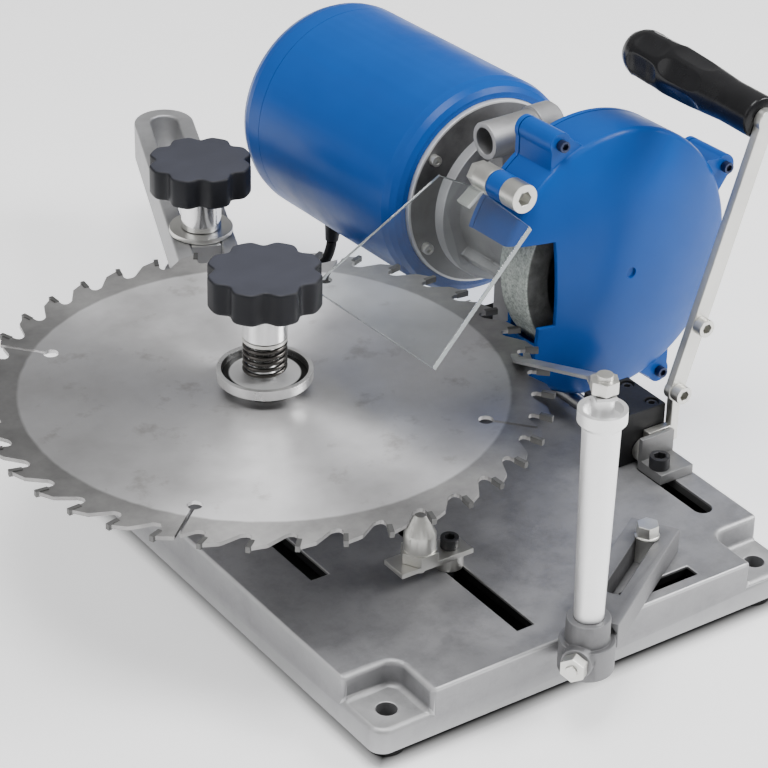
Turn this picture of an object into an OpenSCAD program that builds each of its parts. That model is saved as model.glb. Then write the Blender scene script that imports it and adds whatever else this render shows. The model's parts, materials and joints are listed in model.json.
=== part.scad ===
// Circular saw blade sharpener: cast base, swinging blade arm, indexing finger and grinding head.
// Millimetres, +Z up. The origin is on the floor under the middle of the base plate.

/* [Base] */
// Width of the cast base plate
base_w = 261; // [255:1:280]
// Depth of the cast base plate
base_d = 278; // [270:1:300]
// Height of the cast base plate
base_h = 28; // [26:1:32]
// Thickness of its deck and walls
base_wall = 6; // [5:0.5:7]
// Height of the rubber feet
foot_h = 8; // [6:0.5:12]
// Diameter of the bench bolt holes in the corners
bench_hole_d = 10.5; // [8:0.5:11]
// Side of the stepped corner pads
pad_size = 31; // [29:1:33]
// Width of the adjusting slots
slot_w = 10.5; // [9.5:0.5:11]

/* [Saw blade] */
// Diameter over the carbide tips
blade_d = 300; // [280:1:304]
// Number of teeth
teeth = 40; // [24:4:48]
// Thickness of the blade body
blade_t = 2.2; // [2:0.1:2.6]
// Bore of the blade
blade_bore = 30; // [28:0.5:32]
// Height of the blade above the base deck
blade_rise = 61; // [60:1:64]

/* [Blade arm] */
// Width of the slotted arm
arm_w = 37; // [34:1:40]
// Height of the slotted arm
arm_h = 26; // [22:1:27]
// Width of the slot along the arm
arm_slot_w = 17; // [16:0.5:18]
// Angle of the arm from straight back
arm_angle = 22.4; // [20:0.2:24]
// Distance from the pivot stud to the blade centre
stud_reach = 212; // [205:1:216]
// Length of the arm behind the pivot stud
arm_back = 167; // [150:1:180]
// Diameter of the pivot stud and of the blade post
stud_d = 12; // [11:0.5:12]

/* [Clamps] */
// Diameter of the star knobs
knob_d = 60; // [54:1:64]
// Thickness of the star knobs
knob_h = 18; // [16:1:20]
// Number of lobes on a star knob
knob_lobes = 8; // [6:1:9]
// Diameter of the centring cone at its rim
cone_d = 50; // [46:1:54]
// Wire of the clamp spring
spring_wire = 2.2; // [2:0.1:2.4]
// Turns of the clamp spring
spring_turns = 5; // [4:0.5:5.5]

/* [Tooth finger] */
// Distance from the bracket bolt to the finger post
bracket_reach = 87; // [84:1:90]
// Diameter of the finger post at its top
post_top_d = 18.6; // [17:0.1:20]
// Height of the tapered part of the finger post
post_h = 108; // [100:1:116]
// Width of the spring steel finger
finger_w = 10; // [8:0.5:11]

/* [Grinding head] */
// Diameter of the cup wheel
wheel_d = 116; // [108:1:117]
// Diameter of the round guard
guard_d = 154; // [150:1:156]
// Depth of the guard's side wall
guard_depth = 31; // [29:1:33]
// Diameter of the motor barrel
motor_d = 130; // [122:1:132]
// Length of the motor barrel
motor_len = 139; // [125:1:150]
// Droop of the motor axis towards the back
head_tilt = 3; // [2:0.1:4]

/* [Lever] */
// Height of the grip above the hinge shaft
lever_h = 178; // [165:1:185]
// Length of the hand grip
grip_len = 107; // [100:1:115]
// Diameter of the hand grip
grip_d = 29; // [26:0.5:32]

/* [Cord] */
// Diameter of the mains cord
cord_d = 6.4; // [6.2:0.1:6.6]

/* [Hidden] */
$fn = 96;

// Gap between parts that rest on or slide along each other
gap = 0.3;
// Radial clearance of a running shaft
run = 0.05;
// Overlap that joins the pieces of one casting
weld = 0.5;

// Heights of the deck and the blade
deck_z = foot_h + base_h;
blade_z = deck_z + blade_rise;

// Grinding head: guard edge on the motor axis, and the hinge shaft under it
head_drop = 28;
head_x = base_w / 2 + 2;
head_y = 23;
head_z = blade_z + head_drop;
hinge_x = base_w / 2 - 17.5;
hinge_z = deck_z + 8;
shaft_r = 4;

// Blade centre: the wheel's edge just clears the tips at the blade's height
feed_gap = 1.4;
tip_t = blade_t + 1;
wheel_reach = sqrt(pow(wheel_d / 2, 2) - pow(head_drop - tip_t / 2 - 1, 2));
blade_r = blade_d / 2;
blade_x = head_x - wheel_reach - blade_r - feed_gap;
blade_y = head_y + guard_depth;

// Arm pivot
stud_x = blade_x + stud_reach * sin(arm_angle);
stud_y = blade_y + stud_reach * cos(arm_angle);
boss_d = 44;
arm_z = deck_z + 17;
arm_top = arm_z + arm_h;
stud_r = stud_d / 2;
lock_z = arm_top + 3 + 2 * gap;

// Base details
knob_turn = -9;
corner_r = 8;
pad_r = 8;
pad_drop = 14;
hole_inset = 15;
tongue_r = 24;
foot_r = 10;
stop_slot_x = -31.5;
head_slot_x = hinge_x - 2;

// Clamp stack above the blade
cone_rim = 12.5;
spring_seat = 9.5;
clamp_rise = 31.5;
hub_h = 20.5;
lock_hub_h = hub_h + 4;
knob_z = blade_z + clamp_rise + hub_h;
hub_r = 11.7;
washer_t = 2;

// Adjustable stop under the blade
stop_x = -44;
stop_y = -57;
stop_lift = 8;
stop_t = 3;
stop_z = deck_z + stop_lift;

// Finger bracket and post
bolt_x = 55;
bolt_y = 31 - base_d / 2;
bracket_angle = 32;
bracket_h = 14;
bracket_w = 26;
bracket_slot_w = 9;
bolt_r = 3;
post_x = bolt_x - bracket_reach * cos(bracket_angle);
post_y = bolt_y - bracket_reach * sin(bracket_angle);
socket_r = 11;
socket_foot_r = 14;
socket_foot_h = 17;
socket_z = deck_z - 9;
socket_h = 30;
spigot_r = 7;
clamp_x = 15;
clamp_z = socket_z + 11;
post_z = socket_z + socket_h;
post_top = post_z + post_h;
cup_h = 9;
cup_r = post_top_d / 2 + 2.6;
finger_rise = 7;
finger_t = 1.6;
finger_z = post_top + cup_h + finger_rise;
finger_reach_angle = -20.5;
finger_tip_r = blade_r - 13;
tip_x = blade_x + finger_tip_r * cos(finger_reach_angle);
tip_y = blade_y + finger_tip_r * sin(finger_reach_angle);
tip_z = blade_z + tip_t / 2 + 1;
finger_len = sqrt(pow(tip_x - post_x, 2) + pow(tip_y - post_y, 2));
finger_turn = atan2(tip_y - post_y, tip_x - post_x);

// Lever plane, in front of the front hinge block
lever_y = -37.5;
lever_t = 5;
lever_w = 10;
block_y = lever_y + lever_t + gap;
block_len = 33;
rear_block_y = 93;
rear_block_len = 14;
block_w = 30;
block_h = 31;

// Guard, measured from the motor axis
guard_r = guard_d / 2;
guard_skin = 2.5;
dome_h = 14;
edge_r = 3;
dome_r = guard_r - edge_r;
chord_x = 55.3;
notch_x = 46;
notch_low = 21;
notch_high = 28;
slot_low = 33;
cheek_t = 2;
ear_r = 6.8;
ear_out = guard_r + 8.5;
ear_angles = [115, 25, -65];
ear_y = 3;
back_t = 3;
lug_x = -64.5;
lug_z = 56.8;
lug_r = 8;
lug_y = 8;
lug_len = 12;

// Motor, measured along its axis from the guard's front edge
neck_r = 34;
neck_y = guard_depth + gap + back_t + gap;
motor_y = 117;
motor_r = motor_d / 2;
motor_skin = 3.5;
motor_end = motor_y + motor_len;
cap_h = 36;
lip_r = motor_r - 9.7;
bell_y = motor_y - 3;
bell_t = 8;
flange_angles = [38, 142, 208, 332];
flange_screw_r = lip_r - 5.8;
shaft_big_r = 7;
shaft_small_r = 6;
bearing_r = 16;
front_bearing_y = 44;
rear_bearing_y = motor_end - 4;
bearing_t = 10;

// Eye shield, hung on the lug screw
shield_near = 13;
shield_far = 102;
shield_y = 14;
shield_top_w = 80;
shield_low_w = 112;
shield_t = 3;
shield_slope = 36;
shield_z = 2.3;
clip_y = lug_y + lug_len + gap;
clip_len = 12;
stud_head = 12;

// Cord: route of the free stretch and the coil on the floor
gland_y = 263;
gland_h = 20;
gland_turn = 7;
gland_reach = motor_r + gland_h + 2 * gap;
cord_lift = cord_d / 2;
cord_bend = 4 * cord_d;
coil_r = 7.5 * cord_d;
coil_step = cord_d + 0.7;
coil_turns = 3;
cord_exit = [head_x - gland_reach * sin(gland_turn),
    head_y + gland_y * cos(head_tilt) - gland_reach * cos(gland_turn) * sin(head_tilt),
    head_z - gland_y * sin(head_tilt) - gland_reach * cos(gland_turn) * cos(head_tilt)];
bend_top = [cord_exit[0], cord_exit[1], cord_lift + cord_bend * (1 - sin(gland_turn))];
bend_steps = 10;
route_bend = [for (i = [0 : bend_steps]) let (a = gland_turn + i * (90 - gland_turn) / bend_steps)
    bend_top + cord_bend * [cos(a) - cos(gland_turn), 0, sin(gland_turn) - sin(a)]];
coil_x = route_bend[bend_steps][0] - 1.6 * cord_d;
coil_y = cord_exit[1] - coil_r;
route = concat([cord_exit], route_bend, [[coil_x + cord_d, cord_exit[1], cord_lift]]);

// A cylinder along +Y from y0
module rod_y(y0, len, r) {
    translate([0, y0, 0]) rotate([-90, 0, 0]) cylinder(h = len, r = r);
}

// A solid turned about the Y axis from a profile of [radius, y] points
module turned_y(profile) {
    rotate([-90, 0, 0]) rotate_extrude() polygon(profile);
}

// A flat outline in the XZ plane, extruded along +Y from y0
module slab_y(y0, t) {
    translate([0, y0 + t, 0]) rotate([90, 0, 0]) linear_extrude(t) children();
}

// The frame of the grinding head, tilted about the guard's centre
module head_frame() {
    translate([head_x, head_y, head_z]) rotate([-head_tilt, 0, 0]) children();
}

// The frame of the blade arm: +Y runs along it from the pivot stud to its free end
module arm_frame() {
    translate([stud_x, stud_y, 0]) rotate([0, 0, -arm_angle]) children();
}

// The frame of the finger bracket: +X runs from its bolt to the post
module bracket_frame() {
    translate([bolt_x, bolt_y, 0]) rotate([0, 0, 180 + bracket_angle]) children();
}

module at_blade() {
    translate([blade_x, blade_y, 0]) children();
}

module round_rect(w, d, r) {
    square([w - 2 * r, d], center = true);
    square([w, d - 2 * r], center = true);
    for (sx = [-1, 1], sy = [-1, 1]) translate([sx * (w / 2 - r), sy * (d / 2 - r)]) circle(r);
}

// A slot outline along Y between two ends, with round ends when r is half its width
module slot_y(y0, y1, w) {
    translate([-w / 2, y0]) square([w, y1 - y0]);
}

module hexagon(across) {
    circle(d = across / cos(30), $fn = 6);
}

// A socket head screw pointing along -Z, with its head above z = 0
module socket_screw(d, len) {
    difference() {
        union() {
            cylinder(h = d, r = d * 0.8);
            translate([0, 0, -len]) cylinder(h = len + weld, r = d / 2);
        }
        translate([0, 0, d * 0.45]) linear_extrude(d) hexagon(d * 0.85);
    }
}

module star_outline() {
    difference() {
        circle(d = knob_d);
        for (i = [0 : knob_lobes - 1]) {
            rotate(knob_turn + (i + 0.5) * 360 / knob_lobes) {
                translate([knob_d * 0.585, 0]) circle(knob_d * 0.15);
            }
        }
    }
}

// A star knob standing on z = 0 with a blind bore from below
module star_knob(bore_r) {
    difference() {
        intersection() {
            linear_extrude(knob_h) star_outline();
            rotate_extrude() polygon([[0, 0], [knob_d / 2 - 1.5, 0], [knob_d / 2 + 1, 2.5],
                [knob_d / 2 + 1, knob_h - 2.5], [knob_d / 2 - 1.5, knob_h], [0, knob_h]]);
        }
        translate([0, 0, -1]) cylinder(h = knob_h - 4, r = bore_r);
    }
}

// Corner pad outline, with its inner corner rounded
module pad_cut(sx, sy) {
    translate([sx * base_w / 2, sy * base_d / 2]) scale([-sx, -sy]) {
        translate([-1, -1]) square([pad_size - pad_r + 1, pad_size + 1]);
        translate([-1, -1]) square([pad_size + 1, pad_size - pad_r + 1]);
        translate([pad_size - pad_r, pad_size - pad_r]) circle(pad_r);
    }
}

module base_outline() {
    round_rect(base_w, base_d, corner_r);
    translate([stud_x - tongue_r + gap, base_d / 2 - corner_r * 2]) {
        square([2 * (tongue_r - gap), stud_y - base_d / 2 + corner_r * 2]);
    }
    translate([stud_x, stud_y]) circle(tongue_r);
}

module bench_holes() {
    for (sx = [-1, 1], sy = [-1, 1]) {
        translate([sx * (base_w / 2 - hole_inset), sy * (base_d / 2 - hole_inset), -1]) children();
    }
}

module base_plate() {
    inner_w = base_w - 2 * base_wall;
    inner_d = base_d - 2 * base_wall;
    color("silver") difference() {
        union() {
            translate([0, 0, foot_h]) linear_extrude(base_h) base_outline();
            translate([stud_x, stud_y, deck_z - weld]) cylinder(h = arm_z - gap - deck_z + weld, d = boss_d);
        }
        translate([0, 0, foot_h + pad_drop]) linear_extrude(base_h) {
            for (sx = [-1, 1], sy = [-1, 1]) pad_cut(sx, sy);
        }
        translate([0, 0, foot_h - 1]) linear_extrude(base_h - base_wall + 1) {
            square([inner_w - 2 * pad_size, inner_d], center = true);
            square([inner_w, inner_d - 2 * pad_size], center = true);
            translate([stud_x - tongue_r + base_wall, base_d / 2]) {
                square([2 * (tongue_r - base_wall), stud_y - base_d / 2 - boss_d / 2]);
            }
        }
        bench_holes() cylinder(h = deck_z, d = bench_hole_d);
        translate([0, 0, deck_z - base_wall - 1]) linear_extrude(base_wall + 2) {
            translate([stop_slot_x, 0]) slot_y(17 - base_d / 2, -15, slot_w);
            translate([stop_slot_x - 61, 0]) slot_y(-31, 60, slot_w);
            translate([head_slot_x, 0]) slot_y(-86, -40, slot_w);
            translate([head_slot_x, -86]) circle(d = slot_w);
            translate([head_slot_x, -40]) circle(d = slot_w);
            translate([bolt_x - 30, 6.6 - base_d / 2]) square([44.5, slot_w - 2]);
        }
        translate([bolt_x, bolt_y, deck_z - base_wall - 1]) cylinder(h = base_wall + 2, r = bolt_r);
        translate([stud_x, stud_y, deck_z - 14]) cylinder(h = 60, r = stud_r);
        for (y = [block_y + 6, block_y + block_len - 6, rear_block_y + rear_block_len / 2], sx = [-1, 1]) {
            translate([hinge_x + sx * (block_w / 2 - 5), y, deck_z - base_wall + 1]) cylinder(h = 20, r = 2);
        }
    }
}

module rubber_foot() {
    difference() {
        rotate_extrude() polygon([[0, 0], [foot_r - 1, 0], [foot_r, 1], [foot_r, foot_h], [0, foot_h]]);
        translate([0, 0, -1]) cylinder(h = foot_h + 2, d = bench_hole_d);
    }
}

module rubber_feet() {
    color("dimgray") {
        translate([0, 0, 1]) bench_holes() rubber_foot();
        translate([stud_x, stud_y, 0]) cylinder(h = foot_h, r = foot_r);
    }
}

module pivot_stud() {
    color("gainsboro") translate([stud_x, stud_y, deck_z - 14]) {
        cylinder(h = lock_z + lock_hub_h + 8 - deck_z + 14, r = stud_r);
    }
}

// Front and rear bearing blocks of the head's hinge shaft
module hinge_blocks() {
    color("dimgray") for (place = [[block_y, block_len], [rear_block_y, rear_block_len]]) {
        difference() {
            translate([hinge_x - block_w / 2, place[0], deck_z]) cube([block_w, place[1], block_h]);
            translate([hinge_x, 0, hinge_z]) rod_y(place[0] - 1, place[1] + 2, shaft_r + run);
            for (sx = [-1, 1], y = place[1] > 20 ? [6, place[1] - 6] : [place[1] / 2]) {
                translate([hinge_x + sx * (block_w / 2 - 5), place[0] + y, deck_z - 1]) {
                    cylinder(h = block_h + 2, r = 2);
                    translate([0, 0, block_h - 5]) cylinder(h = 10, r = 3.8);
                }
            }
        }
    }
}

module block_screws() {
    color("dimgray") {
        for (y = [block_y + 6, block_y + block_len - 6, rear_block_y + rear_block_len / 2], sx = [-1, 1]) {
            translate([hinge_x + sx * (block_w / 2 - 5), y, deck_z + block_h - 5]) socket_screw(4, 24);
        }
    }
}

// Angle bracket that stops the front hinge block from creeping along its slot
module hinge_bracket() {
    foot_w = 22;
    foot_y = lever_y - gap - 20;
    color("silver") translate([head_slot_x - 5, foot_y, deck_z]) difference() {
        union() {
            cube([foot_w, 20, 6]);
            translate([0, 17, 0]) cube([foot_w, 3, 19]);
        }
        translate([5, 8, -1]) cylinder(h = 10, r = 3.5);
    }
}

module bracket_screw() {
    color("dimgray") translate([head_slot_x, lever_y - gap - 12, deck_z + 6]) socket_screw(7, 16);
}

// Block that turns on the stud and guides the arm by its slot
module swing_slider() {
    color("gray") arm_frame() difference() {
        translate([-arm_slot_w / 2 + gap / 2, -20, arm_z]) cube([arm_slot_w - gap, 40, arm_h]);
        translate([0, 0, arm_z - 1]) cylinder(h = arm_h + 2, r = stud_r + run);
    }
}

module arm_outline(w, y0, y1) {
    translate([-w / 2, y0]) square([w, y1 - y0]);
    translate([0, y0]) circle(d = w);
    translate([0, y1]) circle(d = w);
}

module blade_arm() {
    color("silver") arm_frame() difference() {
        translate([0, 0, arm_z]) linear_extrude(arm_h) {
            arm_outline(arm_w, -stud_reach - 14, arm_back - arm_w / 2);
        }
        translate([0, 0, arm_z - 1]) linear_extrude(arm_h + 2) {
            arm_outline(arm_slot_w, 90 - stud_reach, arm_back - arm_w / 2);
        }
        translate([0, -stud_reach, arm_z - 1]) cylinder(h = arm_h + 2, r = stud_r + 2);
    }
}

// Post that carries the blade, with a shoulder under the seat
module blade_post() {
    top = blade_z + clamp_rise + hub_h + knob_h - 6;
    color("gainsboro") at_blade() {
        translate([0, 0, arm_z]) cylinder(h = arm_h, r = stud_r + 2);
        translate([0, 0, arm_top - weld]) cylinder(h = top - arm_top + weld, r = stud_r);
    }
}

module blade_seat() {
    color("silver") at_blade() difference() {
        rotate_extrude() polygon([[0, arm_top], [17, arm_top], [17, blade_z - 8], [27, blade_z - 4],
            [27, blade_z - blade_t / 2 - gap], [0, blade_z - blade_t / 2 - gap]]);
        translate([0, 0, arm_top - 1]) cylinder(h = 40, r = stud_r);
    }
}

module arm_washer() {
    color("gainsboro") translate([stud_x, stud_y, arm_top + gap]) difference() {
        cylinder(h = 3, d = arm_w);
        translate([0, 0, -1]) cylinder(h = 5, r = stud_r + run);
    }
}

module hub(h) {
    difference() {
        cylinder(h = h, r = hub_r);
        translate([0, 0, -1]) cylinder(h = h + 2, r = stud_r + run);
    }
}

module arm_lock_hub() {
    color("gainsboro") translate([stud_x, stud_y, lock_z]) hub(lock_hub_h);
}

module arm_lock_knob() {
    color("dimgray") translate([stud_x, stud_y, lock_z + lock_hub_h]) star_knob(stud_r + run);
}

// One tooth of the blade: gullet, cutting face, seat of the carbide tip, sloping back and flank
gullet_r = blade_r - 12.7;
hook = 15;
tip_w = 2.4;
tip_h = 7;
tip_out = blade_r - tip_w * sin(hook);
braze = 0.1;
pitch = 360 / teeth;
function polar(r, a) = [r * cos(a), r * sin(a)];
function tip_at(u, v) = [tip_out + u * cos(hook) + v * sin(hook), v * cos(hook) - u * sin(hook)];
function spun(p, a) = [p[0] * cos(a) - p[1] * sin(a), p[0] * sin(a) + p[1] * cos(a)];
gullet_shape = [[0.9, -0.16], [0.25, -0.09], [0, -0.02], [0.25, 0.05], [1.2, 0.1], [2.8, 0.115]];
tooth_points = concat([for (p = gullet_shape) polar(gullet_r + p[0], p[1] * pitch)],
    [tip_at(braze - tip_h, braze), tip_at(braze - tip_h, tip_w - braze), tip_at(-1.6, tip_w - braze)],
    [polar(blade_r - 4, 0.46 * pitch), polar(gullet_r + 2.9, 0.74 * pitch)]);
blade_points = [for (i = [0 : teeth - 1], p = tooth_points) spun(p, i * pitch)];

module saw_blade() {
    slot_angle = 4.2;
    color("silver") at_blade() translate([0, 0, blade_z - blade_t / 2]) linear_extrude(blade_t) difference() {
        polygon(blade_points);
        circle(d = blade_bore);
        for (a = [45 : 90 : 315]) rotate(a - slot_angle) {
            translate([blade_r * 0.78, 0]) circle(d = 8);
            translate([blade_r * 0.78, -1]) square([blade_r * 0.22, 2]);
        }
    }
}

module carbide_tips() {
    color("gray") at_blade() for (i = [0 : teeth - 1]) rotate(i * pitch) {
        translate([tip_out, 0, blade_z - tip_t / 2]) rotate(-hook) {
            translate([-tip_h, 0, 0]) cube([tip_h, tip_w, tip_t]);
        }
    }
}

// Spring loaded cone that centres the blade by its bore, dished on top for the spring
module clamp_cone() {
    low = blade_bore / 2 - gap;
    color("silver") at_blade() translate([0, 0, blade_z]) difference() {
        rotate_extrude() polygon([[0, -blade_t / 2], [low - 2, -blade_t / 2], [low, blade_t / 2 + gap],
            [low + 3, blade_t / 2 + 1], [cone_d / 2, cone_rim - 5.5], [cone_d / 2, cone_rim],
            [cone_d / 2 - 2.5, cone_rim], [cone_d / 2 - 2.5, spring_seat - 1],
            [cone_d / 2 - 6, spring_seat - 1], [cone_d / 2 - 6, spring_seat], [0, spring_seat]]);
        translate([0, 0, -3]) cylinder(h = 20, r = stud_r + run);
    }
}

// Helix of the clamp spring, swept as one tube with straight closed ends
spring_r = hub_r - spring_wire / 2;
spring_low = blade_z + spring_seat + spring_wire / 2 + gap;
spring_high = blade_z + clamp_rise - washer_t - spring_wire / 2 - 2 * gap;
spring_steps = 16;
spring_rings = ceil(spring_turns * spring_steps);
spring_pitch = (spring_high - spring_low) / spring_turns;
function helix(i) = [spring_r * cos(i * 360 / spring_steps), spring_r * sin(i * 360 / spring_steps),
    spring_low + i / spring_steps * spring_pitch];
spring_path = [for (i = [0 : spring_rings]) helix(i)];
spring_gap = spring_pitch - spring_wire;
echo(spring_gap = spring_gap);

function unit(v) = v / norm(v);
function run_dir(path, i) =
    unit(path[min(i + 1, len(path) - 1)] - path[max(i - 1, 0)]);
// A ring of points round the path, kept square to it and level with the floor
function ring_at(path, i, r, sides) =
    let (d = run_dir(path, i),
        ref = abs(d[2]) > 0.9 ? [0, 1, 0] : [0, 0, 1],
        side = unit(cross(d, ref)),
        up = cross(side, d))
    [for (k = [0 : sides - 1]) path[i] + r * (cos(k * 360 / sides) * side + sin(k * 360 / sides) * up)];

// A tube swept along a path of points
module tube(path, r, sides) {
    n = len(path);
    points = [for (i = [0 : n - 1]) each ring_at(path, i, r, sides)];
    faces = concat([[for (k = [0 : sides - 1]) k]],
        [for (i = [0 : n - 2], k = [0 : sides - 1]) let (a = i * sides + k, b = i * sides + (k + 1) % sides)
            each [[a, a + sides, b], [b, a + sides, b + sides]]],
        [[for (k = [sides - 1 : -1 : 0]) (n - 1) * sides + k]]);
    polyhedron(points, faces, convexity = 10);
}

module clamp_spring() {
    color("dimgray") at_blade() tube(spring_path, spring_wire / 2, 6);
}

module spring_washer() {
    color("gainsboro") at_blade() translate([0, 0, blade_z + clamp_rise - washer_t - gap]) difference() {
        cylinder(h = washer_t, r = hub_r);
        translate([0, 0, -1]) cylinder(h = washer_t + 2, r = stud_r + run);
    }
}

module clamp_hub() {
    color("gainsboro") at_blade() translate([0, 0, blade_z + clamp_rise]) hub(hub_h);
}

module clamp_knob() {
    color("dimgray") at_blade() translate([0, 0, knob_z]) star_knob(stud_r + run);
}

// Stop that limits the arm's swing, on a plate over the front slot
module stop_plate() {
    color("silver") difference() {
        translate([stop_x - 22, stop_y - 8, stop_z]) cube([44, 16, stop_t]);
        translate([stop_slot_x, stop_y, stop_z - 1]) cylinder(h = stop_t + 2, r = 3);
        translate([stop_x - 6, stop_y, stop_z - 1]) cylinder(h = stop_t + 2, r = 3);
    }
}

module stop_pin() {
    color("gainsboro") translate([stop_x - 6, stop_y, stop_z]) {
        translate([0, 0, stop_t]) linear_extrude(6) hexagon(18);
        translate([0, 0, stop_t + 6 - weld]) cylinder(h = 9 + weld, r = 8.4);
        translate([0, 0, stop_t + 15]) cylinder(h = 11, r1 = 8.4, r2 = 3);
        translate([0, 0, -5]) cylinder(h = 6 + stop_t, r = 3);
    }
}

module stop_screw() {
    color("dimgray") translate([stop_slot_x, stop_y, stop_z + stop_t]) socket_screw(6, 21);
}

module stop_spacer() {
    color("gainsboro") translate([stop_slot_x, stop_y, deck_z]) difference() {
        cylinder(h = stop_lift, r = 7.5);
        translate([0, 0, -1]) cylinder(h = stop_lift + 2, r = 3);
    }
}

// Cast bracket with a slotted arm and a socket for the finger post
module finger_bracket() {
    slot_len = bracket_reach - socket_foot_r - 14;
    color("silver") bracket_frame() difference() {
        union() {
            translate([-14, -bracket_w / 2, deck_z + gap]) cube([bracket_reach + 6, bracket_w, bracket_h]);
            translate([bracket_reach, 0, socket_z]) cylinder(h = socket_h, r = socket_r);
            translate([bracket_reach, 0, socket_z]) cylinder(h = socket_foot_h, r = socket_foot_r);
            translate([bracket_reach, 0, clamp_z]) rotate([0, 90, 0]) cylinder(h = clamp_x, r = 8);
        }
        translate([bracket_reach, 0, socket_z - 1]) cylinder(h = socket_h + 2, r = spigot_r + run);
        translate([-bracket_slot_w / 2, -bracket_slot_w / 2, deck_z]) {
            cube([slot_len, bracket_slot_w, bracket_h + 2]);
        }
        translate([bracket_reach, 0, clamp_z]) rotate([0, 90, 0]) cylinder(h = 40, r = 3);
    }
}

// Square nut block that turns with the bracket and slides in its slot
module bracket_slider() {
    side = bracket_slot_w - gap;
    color("gray") bracket_frame() difference() {
        translate([-side / 2, -side / 2, deck_z + gap]) cube([side, side, bracket_h]);
        translate([0, 0, deck_z - 1]) cylinder(h = bracket_h + 4, r = bolt_r + run);
    }
}

module bracket_bolt() {
    top = deck_z + bracket_h + 2 * gap;
    color("gainsboro") translate([bolt_x, bolt_y, 0]) {
        translate([0, 0, top]) cylinder(h = 1.2, r = 6.5);
        translate([0, 0, top + 1.2 - weld]) linear_extrude(6.4 + weld) hexagon(10.5);
        translate([0, 0, deck_z - 12]) cylinder(h = top - deck_z + 12 + weld, r = bolt_r);
    }
}

module finger_post() {
    color("gainsboro") translate([post_x, post_y, 0]) difference() {
        union() {
            translate([0, 0, socket_z]) cylinder(h = socket_h + gap, r = spigot_r);
            translate([0, 0, post_z + gap]) {
                cylinder(h = post_h - gap, r1 = spigot_r + 0.4, r2 = post_top_d / 2);
            }
            translate([0, 0, post_top]) rotate_extrude() polygon([[0, -weld], [cup_r - 2.6, -weld],
                [cup_r, 2.5], [cup_r, cup_h], [cup_r - 2.2, cup_h], [cup_r - 2.2, 3.5], [5.4, 3.5],
                [5.4, cup_h + finger_rise], [0, cup_h + finger_rise]]);
        }
        translate([0, 0, post_top - 12]) cylinder(h = 40, r = 4);
    }
}

module post_clamp_bolt() {
    color("gainsboro") bracket_frame() translate([bracket_reach + clamp_x, 0, clamp_z]) rotate([0, 90, 0]) {
        translate([0, 0, spigot_r + gap - clamp_x]) cylinder(h = clamp_x, r = 3);
        linear_extrude(6) hexagon(12);
    }
}

module finger_bolt() {
    low = finger_z + finger_t + 2 * gap;
    color("gainsboro") translate([post_x, post_y, 0]) {
        translate([0, 0, post_top - 12]) cylinder(h = low - post_top + 12 + weld, r = 4);
        translate([0, 0, low]) linear_extrude(6.5) hexagon(12.6);
        translate([0, 0, low + 6]) cylinder(h = 3, r = 4);
    }
}

// Spring steel strip that runs from the post down to the teeth
module tooth_finger() {
    rise = finger_z + gap;
    color("gainsboro") translate([post_x, post_y, 0]) rotate(finger_turn) difference() {
        translate([0, -finger_w / 2, 0]) slab_y(0, finger_w) {
            polygon([[-7, rise], [14, rise], [finger_len - 7, tip_z], [finger_len, tip_z],
                [finger_len, tip_z + finger_t], [finger_len - 6.6, tip_z + finger_t], [14.6, rise + finger_t],
                [-7, rise + finger_t]]);
        }
        translate([0, 0, rise - 1]) cylinder(h = finger_t + 2, r = 4 + run);
        translate([finger_len - 4, -1.5, 0]) cube([10, 3, rise]);
    }
}

// Shaft that joins the lever in front to the head's leg behind the guard
module hinge_shaft() {
    color("gainsboro") translate([hinge_x, 0, hinge_z]) {
        rod_y(lever_y, rear_block_y + rear_block_len - lever_y, shaft_r);
    }
}

// Cast neck between guard and motor, with its leg on the hinge shaft and a cross tube on top
module head_casting() {
    leg_y = 63;
    leg_t = 28;
    tube_y = 76;
    tube_z = 53;
    disc_y = 94;
    color("silver") difference() {
        union() {
            head_frame() {
                rod_y(neck_y, bell_y - gap - neck_y, neck_r);
                rod_y(neck_y, 6, neck_r + 8);
                rod_y(disc_y, 8, neck_r + 12);
                for (a = [20, 140, 260]) rotate([0, a, 0]) {
                    translate([0, neck_y + 3, -4]) cube([neck_r + 6, disc_y - neck_y, 8]);
                }
                translate([-32, tube_y, tube_z]) rotate([0, 90, 0]) cylinder(h = 48, r = 10.6);
                translate([0, tube_y, tube_z]) rotate([0, 90, 0]) cylinder(h = 14, r = 12.2);
                translate([-24, tube_y - 6, neck_r / 2]) cube([38, 12, tube_z - neck_r / 2 - 4]);
            }
            translate([hinge_x - 10, leg_y, hinge_z]) cube([25, leg_t, head_z - hinge_z - 22]);
            translate([hinge_x, 0, hinge_z]) rod_y(leg_y, leg_t, 7.2);
        }
        head_frame() {
            rod_y(neck_y - 1, bell_y, bearing_r - 3);
            rod_y(front_bearing_y, bearing_t, bearing_r);
            rod_y(front_bearing_y + bearing_t - weld, bell_y, bearing_r);
            translate([-33, tube_y, tube_z]) rotate([0, 90, 0]) cylinder(h = 40, r = 7.4);
        }
        translate([hinge_x, 0, hinge_z]) rod_y(leg_y - 1, leg_t + 2, shaft_r);
    }
}

// The side of the guard that is open towards the blade, down to a given depth under the axis
module guard_opening(low) {
    tall = 4 * guard_r;
    translate([-tall - chord_x, -tall / 2, -tall]) cube([tall, tall, tall + notch_high]);
    translate([-tall - notch_x, -tall / 2, -low]) cube([tall, tall, low + notch_high]);
}

// Ears round the guard for its screws, between two places along the axis
module guard_ears(y0, y1) {
    for (a = ear_angles) rotate([0, -a, 0]) {
        translate([ear_out, 0, 0]) rod_y(y0, y1 - y0, ear_r);
        slab_y(y0, y1 - y0) {
            polygon([[guard_r - 2, -12], [ear_out, gap - ear_r], [ear_out, ear_r - gap], [guard_r - 2, 12]]);
        }
    }
}

module ear_bores() {
    for (a = ear_angles) rotate([0, -a, 0]) translate([ear_out, 0, 0]) rod_y(-5, 60, 2);
}

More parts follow.
